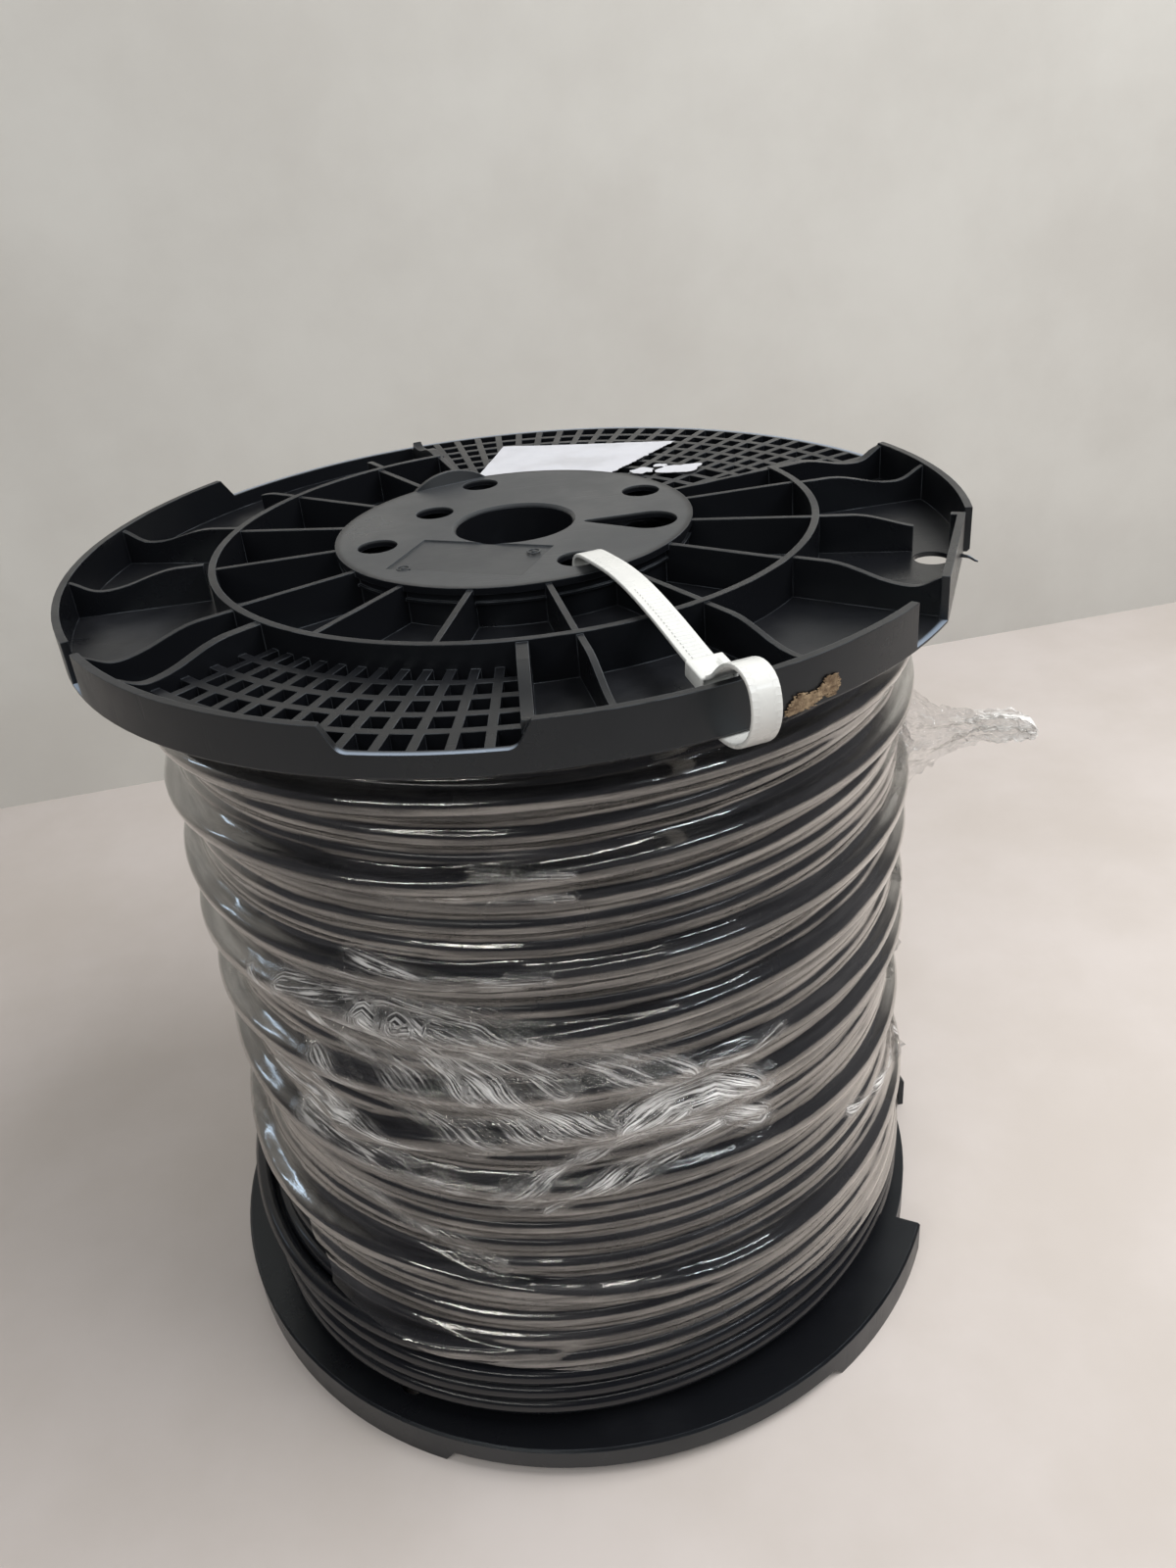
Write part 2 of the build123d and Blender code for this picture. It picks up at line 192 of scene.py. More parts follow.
def patches(tree, place, scaleDetail, span, share=(0, 1), **shape):
    # Noise whose values from the first span are spread over the second
    return remap(tree, noiseAt(tree, place, *scaleDetail, **shape), *span, *share)


def bumpInto(tree, shader, height, distance, strength, normal=None):
    made = addNode(tree, "Bump", {"Height": height, "Distance": distance, "Strength": strength})
    if normal is not None:
        tree.links.new(normal, made.inputs["Normal"])
    plug(tree, shader, Normal=made.outputs[0])


# Steps are in millimetres: from the axis for the hub, and from the flange's top, rim and deck for the others
# The worn tone is edge wear with a painted highlight on it
plasticLook = {"body": (0.0055, 0.006, 0.0075, 1), "wornAndHighlight": (0.08, 0.09, 0.102, 1),
               # The lip tone is a painted pale-blue highlight
               "dustAndShade": (0.115, 0.12, 0.135, 1), "hub": (0.044, 0.047, 0.05, 1), "lipHighlight": (0.2, 0.245, 0.31, 1),
               "gloss": (0.86, 0.94, 1, 1), "roughness": (0.23, 0.42), "drifts": (0.01, 0.13),
               # The low-down dust factor darkens the bottom flange as painted shade
               "paintedLowShade": 0.25, "edgeRound": 0.6 * mm, "hubEdge": (81.5, 78.5), "hubTop": (-1.5, -0.5),
               "lipReach": (-3.0, -1.0), "lipFoot": (0.9, 1.6), "lipTop": (12.5, 11.5)}


def blackPlastic():
    material, tree, shader = newMaterial("blackPlastic", Specular_Tint=plasticLook["gloss"])
    place = objectPlace(tree)
    facing = addNode(tree, "NewGeometry").outputs["True Normal"]
    # Worn edges, lightened partly as wear and partly as a painted edge highlight: where the rounded normal
    # leaves the face's own
    rounded = addNode(tree, "Bevel", {"Radius": plasticLook["edgeRound"]}, samples=6).outputs[0]
    along = addNode(tree, "VectorMath", {0: rounded, 1: facing}, operation="DOT_PRODUCT").outputs["Value"]
    wornAndHighlight = patches(tree, place, (60, 4), (0.42, 0.62), (0.25, 1))
    wornAndHighlight = times(tree, remap(tree, along, 0.995, 0.86), wornAndHighlight)
    # Dust lies on what faces up, in patches; there is less of it low down, which paints shade on the bottom
    # flange
    level = remap(tree, addNode(tree, "SeparateXYZ", {0: facing}).outputs["Z"], 0.6, 0.95)
    drifts = patches(tree, place, (9, 6), (0.48, 0.72), plasticLook["drifts"], roughness=0.65)
    specks = patches(tree, place, (900, 2), (0.66, 0.74), (0, 0.5))
    apart = addNode(tree, "SeparateXYZ", {0: place})
    height = apart.outputs["Z"]
    dustAndShade = times(tree, level, plus(tree, drifts, times(tree, specks, drifts)))
    dustAndShade = times(tree, dustAndShade, remap(tree, height, deckLow, deckHigh, plasticLook["paintedLowShade"], 1))
    # The hub plate is a little paler, and the up-facing edge where the rim is cut down towards the deck gets
    # a painted pale-blue highlight
    flat = addNode(tree, "CombineXYZ", {"X": apart.outputs["X"], "Y": apart.outputs["Y"]}).outputs[0]
    reach = addNode(tree, "VectorMath", {0: flat}, operation="LENGTH").outputs["Value"]
    onHub = times(tree, stepAt(tree, reach, 0, plasticLook["hubEdge"]),
                  stepAt(tree, height, flangeTop, plasticLook["hubTop"]))
    paintedLipHighlight = times(tree, level, stepAt(tree, reach, flangeRadius, plasticLook["lipReach"]))
    for side in ("lipFoot", "lipTop"):
        paintedLipHighlight = times(tree, paintedLipHighlight, stepAt(tree, height, deckHigh, plasticLook[side]))
    # Over the body: the paler hub, worn edges with a painted highlight, dust thinned low down as painted
    # shade, and the painted lip highlight
    colour = plasticLook["body"]
    for share, tone in ((onHub, "hub"), (wornAndHighlight, "wornAndHighlight"), (dustAndShade, "dustAndShade"), (paintedLipHighlight, "lipHighlight")):
        colour = mixColour(tree, share, colour, plasticLook[tone])
    # Satin, with long scuffs and a fine moulded grain
    rough = patches(tree, place, (14, 5), (0.3, 0.7), plasticLook["roughness"], roughness=0.6)
    plug(tree, shader, Base_Color=colour, Roughness=plus(tree, rough, times(tree, dustAndShade, 0.8)))
    scuffs = patches(tree, place, (40, 3), (0.62, 0.7), stretch=(1, 9, 1), turn=(0, 0, 0.7))
    relief = plus(tree, noiseAt(tree, place, 1400, 2), times(tree, scuffs, -1.5))
    bumpInto(tree, shader, relief, 0.03 * mm, 0.6, rounded)
    return material


cableLook = {"jacket": (0.0065, 0.0072, 0.0095, 1), "rubbed": (0.03, 0.031, 0.034, 1),
             "roughness": (0.15, 0.3), "coat": 0.12, "coatRoughness": 0.12}


def cableJacket():
    material, tree, shader = newMaterial("cableJacket", Coat_Weight=cableLook["coat"],
                                         Coat_Roughness=cableLook["coatRoughness"])
    place = objectPlace(tree)
    rubbed = patches(tree, place, (55, 5), (0.56, 0.74), (0, 0.3), stretch=(1, 1, 3))
    plug(tree, shader, Base_Color=mixColour(tree, rubbed, cableLook["jacket"], cableLook["rubbed"]),
         Roughness=patches(tree, place, (30, 4), (0.3, 0.7), cableLook["roughness"]))
    bumpInto(tree, shader, noiseAt(tree, place, 240, 2, stretch=(1, 1, 2.5)), 0.08 * mm, 0.5)
    return material


filmLook = {"sheen": (0.8, 0.78, 0.75, 1), "haze": (0.95, 0.95, 0.95, 1), "clear": 0.165, "looseClear": 0.16,
            "veil": (-0.08, 0.14), "grazing": 0.6, "edgeOn": 0.45, "sideVeil": 0.3, "leftVeil": 0.6,
            "crumpled": 1.0, "metal": 0.95, "roughness": (0.06, 0.15), "streaks": 0.28, "creases": 1.4}


def filmCoat(name, clear):
    # Clear film shows by what it mirrors: little where it faces the eye, much where it is seen edge on
    material, tree, shader = newMaterial(name)
    crumple = addNode(tree, "Attribute", attribute_name="crumple").outputs["Fac"]
    stroke = addNode(tree, "Attribute", attribute_name="stroke").outputs["Vector"]
    around = addNode(tree, "UVMap").outputs[0]
    # Film pulled tight draws into fine streaks and wisps along the winding
    streaks = noiseAt(tree, around, 50, 4, stretch=(1, 14, 1), roughness=0.6)
    veil = patches(tree, around, (14, 5), (0.42, 0.68), filmLook["veil"], stretch=(1, 15, 1),
                   turn=(0, 0, 0.04), roughness=0.65, distortion=0.3)
    # Crumpled film is a bundle of fibres along its stroke, over a thin haze
    fibres = patches(tree, stroke, (1, 5), (0.42, 0.6), stretch=(0.045, 1.3, 1), roughness=0.7)
    bundle = times(tree, crumple, plus(tree, times(tree, fibres, 0.8), 0.2))
    facing = addNode(tree, "LayerWeight", {"Blend": 0.5}).outputs["Facing"]
    edgeOn = times(tree, maths(tree, "POWER", facing, 2.2), filmLook["grazing"])
    edgeOn = maths(tree, "MINIMUM", edgeOn, filmLook["edgeOn"])
    # More layers lie on the right side and the left. Places are shares of a turn round the winding.
    turned = addNode(tree, "SeparateXYZ", {0: around}).outputs["X"]
    rightSide = times(tree, remap(tree, turned, 0.8, 0.93), remap(tree, turned, 1.0, 0.96))
    leftSide = remap(tree, turned, 0.68, 0.61, 0, filmLook["leftVeil"])
    leftSide = times(tree, leftSide, remap(tree, turned, 0.44, 0.54))
    layers = times(tree, plus(tree, rightSide, leftSide), filmLook["sideVeil"])
    alpha = plus(tree, plus(tree, plus(tree, veil, layers), clear), edgeOn)
    alpha = plus(tree, alpha, times(tree, bundle, filmLook["crumpled"]), clamp=True)
    rough = remap(tree, streaks, 0.3, 0.7, *filmLook["roughness"])
    plug(tree, shader, Alpha=alpha, Base_Color=mixColour(tree, bundle, filmLook["sheen"], filmLook["haze"]),
         Metallic=remap(tree, bundle, 0.05, 0.45, filmLook["metal"], 0),
         Roughness=plus(tree, rough, times(tree, bundle, 0.15)))
    creases = noiseAt(tree, objectPlace(tree), 260, 3, stretch=(1, 1, 2), roughness=0.6, distortion=1.2)
    creased = times(tree, plus(tree, creases, fibres), times(tree, crumple, filmLook["creases"]))
    bumpInto(tree, shader, plus(tree, times(tree, streaks, filmLook["streaks"]), creased), 0.5 * mm, 0.5)
    return material


nylonLook = {"white": (0.7, 0.71, 0.69, 1), "cloudy": (0.64, 0.655, 0.64, 1), "roughness": (0.24, 0.34),
             "coat": 0.3, "coatRoughness": 0.2}


def whiteNylon():
    material, tree, shader = newMaterial("whiteNylon", Coat_Weight=nylonLook["coat"],
                                         Coat_Roughness=nylonLook["coatRoughness"])
    place = objectPlace(tree)
    cloudy = patches(tree, place, (45, 4), (0.3, 0.7))
    plug(tree, shader, Base_Color=mixColour(tree, cloudy, nylonLook["white"], nylonLook["cloudy"]),
         Roughness=patches(tree, place, (120, 3), (0.3, 0.7), nylonLook["roughness"]))
    bumpInto(tree, shader, noiseAt(tree, place, 90, 2), 0.02 * mm, 0.25)
    return material


paperLook = {"clean": (0.56, 0.575, 0.62, 1), "stained": (0.47, 0.48, 0.51, 1), "roughness": (0.4, 0.6)}


def labelPaper():
    material, tree, shader = newMaterial("labelPaper")
    place = objectPlace(tree)
    stains = patches(tree, place, (35, 5), (0.45, 0.75))
    plug(tree, shader, Base_Color=mixColour(tree, stains, paperLook["clean"], paperLook["stained"]),
         Roughness=patches(tree, place, (80, 3), (0.3, 0.7), paperLook["roughness"]))
    bumpInto(tree, shader, noiseAt(tree, place, 900, 3), 0.06 * mm, 0.6)
    return material


kraftLook = {"dark": (0.13, 0.085, 0.05, 1), "pale": (0.36, 0.27, 0.17, 1), "roughness": (0.75, 0.95)}


def kraftResidue():
    material, tree, shader = newMaterial("kraftResidue")
    torn = patches(tree, objectPlace(tree), (260, 6), (0.35, 0.68), roughness=0.7)
    plug(tree, shader, Base_Color=mixColour(tree, torn, kraftLook["dark"], kraftLook["pale"]),
         Roughness=remap(tree, torn, 0, 1, *kraftLook["roughness"]))
    bumpInto(tree, shader, torn, 0.3 * mm, 0.8)
    return material


def paleFloor(name, first, second, scale):
    material, tree, shader = newMaterial(name)
    place = objectPlace(tree)
    mottle = patches(tree, place, (scale, 6), (0.3, 0.7), roughness=0.6)
    plug(tree, shader, Base_Color=mixColour(tree, mottle, first, second),
         Roughness=patches(tree, place, (3 * scale, 4), (0.3, 0.7), (0.5, 0.75)))
    bumpInto(tree, shader, noiseAt(tree, place, 40 * scale, 3), 0.1 * mm, 0.3)
    return material


def clearBehind(material):
    # Seen from behind, the wall lets the eye through to the drum
    tree = material.node_tree
    behind = times(tree, addNode(tree, "NewGeometry").outputs["Backfacing"],
                   addNode(tree, "LightPath").outputs["Is Camera Ray"])
    mixed = addNode(tree, "MixShader", {0: behind, 1: tree.nodes["Principled BSDF"].outputs[0],
                                        2: addNode(tree, "BsdfTransparent").outputs[0]})
    tree.links.new(mixed.outputs[0], tree.nodes["Material Output"].inputs["Surface"])
    return material


# Camera and stage come first
view = {"lens": 28.6, "sensor": 36, "place": (0, -0.5582, 0.5863), "ahead": (0.03491, 0.86656, -0.49784),
        "up": (0.11489, 0.49136, 0.86334)}


def setCamera():
    camera = bpy.data.objects.new("camera", bpy.data.cameras.new("camera"))
    camera.data.lens = view["lens"]
    camera.data.sensor_width = view["sensor"]
    camera.data.sensor_fit = "AUTO"
    camera.data.clip_start = 0.01
    bpy.context.scene.collection.objects.link(camera)
    ahead = Vector(view["ahead"]).normalized()
    right = ahead.cross(Vector(view["up"])).normalized()
    up = right.cross(ahead)
    turn = Matrix((right, up, -ahead)).transposed()
    camera.matrix_world = Matrix.Translation(view["place"]) @ turn.to_4x4()
    bpy.context.scene.camera = camera


# Floor and wall: pale tone, dark tone and how fine the mottle is
stageLook = {"floor": ((0.62, 0.575, 0.55, 1), (0.56, 0.515, 0.48, 1), 5),
             "wall": ((0.6, 0.595, 0.565, 1), (0.54, 0.53, 0.5, 1), 4), "room": (0.07, 0.07, 0.078, 1),
             "wallFoot": ((-0.387, 0.568), (0.621, 0.706)), "size": 8.0}


def setStage():
    deselectAll()
    bpy.ops.mesh.primitive_plane_add(size=stageLook["size"])
    floor = bpy.context.object
    floor.name = "floor"
    floor.data.materials.append(paleFloor("floorCoat", *stageLook["floor"]))
    left, right = (Vector((*point, 0)) for point in stageLook["wallFoot"])
    run = right - left
    deselectAll()
    bpy.ops.mesh.primitive_plane_add(size=stageLook["size"], location=(left + right) / 2,
                                     rotation=(math.pi / 2, 0, math.atan2(run.y, run.x)))
    wall = bpy.context.object
    wall.name = "wall"
    wall.data.materials.append(clearBehind(paleFloor("wallCoat", *stageLook["wall"])))


# Each lamp: place, aim, size, power, colour and whether it is mirrored
lamps = {
    "soft": ((1.05, -0.2, 1.7), (0.1, 0, 0.2), (1.3, 1.3), 38, (1, 0.985, 0.97), False),
    "fill": ((-0.6, -1.5, 1.75), (0, 0.1, 0.25), (1.4, 1.4), 15, (1, 0.985, 0.97), False),
    "tubeNear": ((-0.9, -1.3, 1.05), (-0.05, -0.17, 0.25), (1.2, 0.03), 3.4, (1, 0.99, 0.93), True),
    "tubeFar": ((1.0, -1.2, 1.35), (0, 0, 0.3), (0.6, 0.05), 2.2, (0.86, 0.93, 1), True),
    "overhead": ((0.2, -1.3, 2.2), (0, 0, 0.3), (1.2, 0.04), 3.0, (1, 0.99, 0.95), True),
    "side": ((-1.1, 0.25, 0.7), (0, 0, 0.3), (0.05, 0.3), 0.14, (0.6, 0.78, 1), True)}


def setLight():
    for name, (place, aim, size, power, colour, mirrored) in lamps.items():
        light = bpy.data.lights.new(name, "AREA")
        light.shape = "RECTANGLE"
        light.size, light.size_y = size
        light.energy = power
        light.color = colour
        holder = bpy.data.objects.new(name, light)
        bpy.context.scene.collection.objects.link(holder)
        holder.location = place
        holder.rotation_euler = (Vector(aim) - holder.location).to_track_quat("-Z", "Y").to_euler()
        holder.visible_glossy = mirrored
        holder.visible_camera = False
    world = bpy.data.worlds.new("room")
    world.use_nodes = True
    world.node_tree.nodes["Background"].inputs["Color"].default_value = stageLook["room"]
    bpy.context.scene.world = world
    bpy.context.scene.view_settings.view_transform = "Standard"


setCamera()
setStage()
setLight()
print("camera, stage and lights are set")

# Plastic of the drum
plastic = blackPlastic()
for name in ("top_flange", "bottom_flange", "drum_barrel"):
    nodes[name].data.materials.clear()
    nodes[name].data.materials.append(plastic)
print("drum plastic is on")

# Cable
winding = {"diameter": 10.3 * mm, "left": 169 * mm, "right": 175.5 * mm, "fullSide": math.radians(-12),
           "swell": 4.5 * mm, "swellFade": (110 * mm, 140 * mm), "footFade": (46 * mm, 108 * mm),
           "footRise": 5 * mm, "footBulge": 13 * mm, "bulgeSide": math.radians(-126), "step": 3.0,
           "sides": 12, "wander": 0.5 * mm, "steadyFoot": 20 * mm, "topGap": 3.4 * mm}


def layerRadius(angle, height):
    # Outside of the neat layer: fuller to the right and lower down, with turns that bulge out at the foot
    middle = (winding["left"] + winding["right"]) / 2
    swing = (winding["right"] - winding["left"]) / 2
    radius = middle + swing * np.cos(angle - winding["fullSide"])
    radius = radius + winding["swell"] * (1 - ramp(height, *winding["swellFade"]))
    foot = 1 - ramp(height, *winding["footFade"])
    side = np.clip(np.cos(angle - winding["bulgeSide"]), 0, 1) ** 3
    return radius + foot * (winding["footRise"] + winding["footBulge"] * side)


def cableAlong(name, points):
    curve = bpy.data.curves.new(name, "CURVE")
    curve.dimensions = "3D"
    spline = curve.splines.new("POLY")
    spline.points.add(len(points) - 1)
    spline.points.foreach_set("co", np.column_stack([points, np.ones(len(points))]).ravel())
    curve.bevel_depth = winding["diameter"] / 2
    curve.bevel_resolution = winding["sides"] // 4 - 1
    curve.use_fill_caps = True
    made = bpy.data.objects.new(name, curve)
    bpy.context.scene.collection.objects.link(made)
    pickOnly(made)
    bpy.ops.object.convert(target="MESH")
    made = bpy.context.object
    made.name = name
    smoothShade(made, 60)
    return made


def wobble(angle, height, seed):
    # Slow uneven lay of hand-fed cable
    return (np.sin(angle * 2.3 + height * 61 + seed) + np.sin(angle * 5.1 - height * 37 + 2.6 * seed)
            + 0.5 * np.sin(angle * 9.7 + height * 83 + 4.1 * seed)) / 2.5


def neatLayer():
    radius = winding["diameter"] / 2
    low, high = deckLow + radius, deckHigh - radius - winding["topGap"]
    turns = int((high - low) / winding["diameter"])
    angle = np.radians(np.arange(0, 360 * turns + 1, winding["step"]))
    height = low + (high - low) * angle / angle[-1]
    reach = layerRadius(angle, height) - radius + winding["wander"] * wobble(angle, height, 1.0)
    steady = ramp(height, low, low + winding["steadyFoot"])
    height = height + winding["wander"] * wobble(angle, height, 5.0) * steady
    return np.column_stack([reach * np.cos(angle), reach * np.sin(angle), height])


# Loose turns over the neat layer. Each row: degrees round the drum, counted on past a full turn, and
# millimetres below the top of the flange.
looseTurns = {
    "upper": [
        (-127, 224), (-117, 218), (-108, 215), (-90, 209), (-62, 206), (-30, 204), (60, 203), (180, 197),
        (213, 193), (236, 190), (270, 186), (330, 188), (400, 180), (520, 164), (573, 156), (592, 152),
        (613, 157), (630, 156), (660, 153), (700, 150), (800, 138), (900, 124), (940, 128), (960, 128),
        (990, 125), (1020, 125), (1055, 127), (1160, 112), (1250, 92), (1305, 82), (1328, 83), (1350, 79),
        (1375, 76), (1410, 77), (1500, 66), (1610, 54), (1670, 48), (1700, 46), (1730, 47), (1765, 50),
        (1860, 42), (1960, 34)],
    "lower": [
        (-215, 226), (-170, 232), (-140, 238), (-104, 242), (-77, 244), (-50, 250), (-10, 252), (90, 262),
        (180, 285), (200, 300), (222, 300), (240, 296), (268, 306), (290, 309), (330, 306), (400, 312),
        (520, 326), (575, 338), (620, 340)]}
# They lie on the layer at the left and sink between its turns elsewhere
looseRide = {"lift": 5.6 * mm, "leftLift": 3.0 * mm, "sway": 0.9 * mm, "leftSide": math.radians(-160),
             "fade": 22.0, "step": 2.25, "smooth": 14}


def looseLayer(which):
    rows = np.array(looseTurns[which], float)
    degrees = np.arange(rows[0, 0], rows[-1, 0] + 0.1, looseRide["step"])
    drop = np.interp(degrees, rows[:, 0], rows[:, 1])
    window = int(looseRide["smooth"] / looseRide["step"]) | 1
    padded = np.pad(drop, window // 2, mode="edge")
    drop = np.convolve(padded, np.ones(window) / window, mode="valid")
    angle = np.radians(degrees)
    height = flangeTop - drop * mm
    ends = ramp(degrees[-1] - degrees, 0, looseRide["fade"])
    if which == "lower":
        ends = ends * ramp(degrees - degrees[0], 0, looseRide["fade"])
    reach = layerRadius(angle, height) - winding["diameter"] / 2
    left = np.clip(np.cos(angle - looseRide["leftSide"]), 0, 1) ** 2
    lift = looseRide["lift"] + looseRide["leftLift"] * left
    lift = lift + looseRide["sway"] * wobble(0.6 * angle, height, 3.0)
    reach = reach + lift * ends + winding["wander"] * wobble(angle, height, 9.0)
    return np.column_stack([reach * np.cos(angle), reach * np.sin(angle), height])


cable = cableJacket()
cablePaths = {"neatTurns": neatLayer(), "looseTurnsUpper": looseLayer("upper"),
              "looseTurnsLower": looseLayer("lower")}
cablePieces = [cableAlong(name, points) for name, points in cablePaths.items()]
for piece in cablePieces:
    onDrum(piece, cable)
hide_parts("cable_winding")
print("cable is wound:", [len(piece.data.polygons) for piece in cablePieces])

# Core under the outer layer, so that nothing shows through between the turns
core = {"inside": 14 * mm, "clear": 1 * mm, "bevel": 3 * mm, "sides": 96}


def windingCore():
    deselectAll()
    bpy.ops.mesh.primitive_cylinder_add(vertices=core["sides"], radius=winding["left"] - core["inside"],
                                        depth=deckHigh - deckLow - 2 * core["clear"],
                                        location=(0, 0, (deckHigh + deckLow) / 2))
    piece = bpy.context.object
    piece.name = "windingCore"
    bevelEdges(piece, core["bevel"])
    bakePlace(piece)
    smoothShade(piece)
    return piece


onDrum(windingCore(), cable)

# Stretch film: drawn tight over the turns, so it bridges from one proud turn to the next
film = {"columns": 360, "rows": 390, "gap": 0.3 * mm, "topGap": 5 * mm, "bottomGap": 20 * mm,
        "span": 30 * mm, "skirtCurve": 110.0, "skirtFrom": 0.3, "skirtShare": 0.6, "turnCurve": 420.0,
        "aroundCurve": 14.0, "wrinkle": 0.12 * mm, "crease": 0.6 * mm,
        "lowEdge": [
            (-180, 85), (-147, 92), (-135, 76), (-121, 73), (-108, 64), (-93, 58), (-78, 60), (-62, 61),
            (-45, 57), (-30, 55), (0, 52), (60, 58), (120, 72), (180, 85)]}

# Where the film is crumpled. Each row: its line in degrees and millimetres below the top of the flange, how
# wide it is in millimetres and how strong.
crumples = [
    ([(-119, 152), (-112, 161), (-107, 174), (-102, 182), (-96, 198), (-89, 207), (-83, 214),
      (-76, 218), (-69, 222), (-63, 232)], 7, 0.9),
    ([(-84, 209), (-78, 202), (-71, 201), (-66, 208)], 9, 1.0),
    ([(-80, 214), (-70, 210), (-62, 216)], 6, 0.9), ([(-105, 251), (-93, 231), (-76, 206)], 4, 0.9),
    ([(-102, 255), (-79, 231), (-70, 226)], 3.5, 0.8), ([(-103, 243), (-90, 226), (-74, 214)], 3, 0.7),
    ([(-97, 258), (-84, 240), (-68, 232)], 3, 0.5),
    ([(-134, 150), (-116, 143), (-102, 150), (-90, 163), (-75, 186)], 7, 0.45),
    ([(-130, 160), (-112, 152), (-98, 163), (-86, 178), (-72, 197)], 6, 0.5),
    ([(-114, 152), (-108, 160), (-101, 169), (-92, 182)], 9, 0.6),
    ([(-121, 158), (-111, 172), (-104, 188)], 4, 0.8),
    ([(-124, 170), (-113, 184), (-103, 200), (-92, 214)], 8, 0.5),
    ([(-131, 185), (-116, 200), (-101, 216)], 6, 0.45),
    ([(-120, 121), (-107, 125), (-92, 125)], 2.5, 0.6), ([(-122, 127), (-110, 130), (-96, 129)], 2, 0.45),
    ([(-146, 212), (-136, 213), (-126, 216)], 2.5, 0.9),
    ([(-147, 221), (-136, 219), (-126, 217)], 2.5, 0.8),
    ([(-138, 203), (-131, 209), (-126, 215)], 2, 0.8), ([(-126, 217), (-116, 220), (-106, 224)], 3, 0.8),
    ([(-138, 230), (-124, 234), (-110, 241), (-98, 246)], 6, 0.45), ([(-100, 75), (-88, 78)], 2, 0.5),
    ([(-112, 88), (-98, 90), (-88, 91)], 2, 0.4), ([(-141, 152), (-130, 166), (-120, 178)], 3, 0.6),
    ([(-72, 186), (-66, 188), (-60, 184)], 3, 0.6), ([(-42, 276), (-30, 288), (-19, 298)], 3, 0.6),
    ([(-136, 262), (-120, 276), (-104, 290)], 5, 0.35), ([(-120, 300), (-100, 312), (-84, 314)], 3, 0.35)]


def gridNoise(across, up, seed, repeat=512):
    # Smooth noise from -1 to 1 on cells of one unit, repeating across
    table = np.random.default_rng(seed).uniform(-1, 1, (repeat, 512))
    left, low = np.floor(across).astype(int), np.floor(up).astype(int)
    u, v = across - left, up - low
    u, v = u * u * (3 - 2 * u), v * v * (3 - 2 * v)

    def at(i, j):
        return table[(left + i) % repeat, (low + j) % 512]
    return (at(0, 0) * (1 - u) + at(1, 0) * u) * (1 - v) + (at(0, 1) * (1 - u) + at(1, 1) * u) * v


def surfaceField(angles, heights):
    # Outermost cable surface for each height and angle
    radius = winding["diameter"] / 2
    field = layerRadius(angles[None, :], heights[:, None]) - radius
    for points in cablePaths.values():
        turned = np.degrees(np.arctan2(points[:, 1], points[:, 0])) % 360
        reach = np.hypot(points[:, 0], points[:, 1])
        columns = np.round(turned / 360 * len(angles)).astype(int)
        for shift in range(-2, 3):
            for column, out, height in zip((columns + shift) % len(angles), reach, points[:, 2]):
                away = (heights - height) / radius
                near = np.abs(away) < 1
                bulge = out + radius * np.sqrt(1 - away[near] ** 2)
                field[near, column] = np.maximum(field[near, column], bulge)
    return field


def drawTight(field, step, curve, mode="edge"):
    # Closing with a shallow bowl: the film spans the hollows that are tighter than the bowl
    reach = int(film["span"] / step)
    offsets = np.arange(-reach, reach + 1)
    bowl = curve * (offsets * step) ** 2 / 2
    rows = field.shape[0]
    padded = np.pad(field, ((reach, reach), (0, 0)), mode=mode)
    grown = np.max([padded[reach + o:reach + o + rows] - b for o, b in zip(offsets, bowl)], axis=0)
    padded = np.pad(grown, ((reach, reach), (0, 0)), mode=mode)
    return np.min([padded[reach + o:reach + o + rows] + b for o, b in zip(offsets, bowl)], axis=0)


def tautField(angles, heights, loose):
    step = heights[1] - heights[0]
    field = surfaceField(angles, heights)
    skirts = drawTight(field, step, film["skirtCurve"])
    tight = drawTight(field, step, film["turnCurve"])
    taut = tight + film["skirtShare"] * ramp(loose, film["skirtFrom"], 1.0) * (skirts - tight)
    around = (angles[1] - angles[0]) * winding["right"]
    return drawTight(taut.T, around, film["aroundCurve"], "wrap").T + film["gap"]


def alongStroke(line, turned, drop):
    # How far from a crumpled line, to which side, and how far along it, in millimetres on the wrap
    scale = math.radians(1) * winding["right"] / mm
    away = np.full(turned.shape, 1e9)
    along = np.zeros(turned.shape)
    gone = 0.0
    for (a0, d0), (a1, d1) in zip(line, line[1:]):
        run = np.array([(a1 - a0) * scale, d1 - d0])
        length = math.hypot(*run)
        x, y = (turned - a0) * scale, drop - d0
        share = np.clip((x * run[0] + y * run[1]) / length ** 2, 0, 1)
        here = np.hypot(x - share * run[0], y - share * run[1])
        nearer = here < np.abs(away)
        away = np.where(nearer, here * np.sign(x * run[1] - y * run[0]), away)
        along = np.where(nearer, gone + share * length, along)
        gone += length
    return away, along


def crumpleField(turned, drop):
    # How crumpled the film is, the creases that stand up along each line, and where on its stroke a point is
    amount = np.zeros(turned.shape)
    creases = np.zeros(turned.shape)
    stroke = np.zeros(turned.shape + (3,))
    for number, (line, width, strength) in enumerate(crumples):
        away, along = alongStroke(line, turned, drop)
        here = strength * np.exp(-(away / width) ** 2)
        patchy = 0.75 + 0.45 * gridNoise(along / 9, away / 3, 40 + number)
        ridge = 1 - np.abs(gridNoise(along / 14, away / 2.2, 60 + number))
        stronger = here * patchy > amount
        stroke[stronger] = np.stack([along, away, np.full(away.shape, 7.0 * number)], -1)[stronger]
        amount = np.where(stronger, here * patchy, amount)
        creases = np.maximum(creases, here * ridge)
    return np.clip(amount, 0, 1), creases, stroke


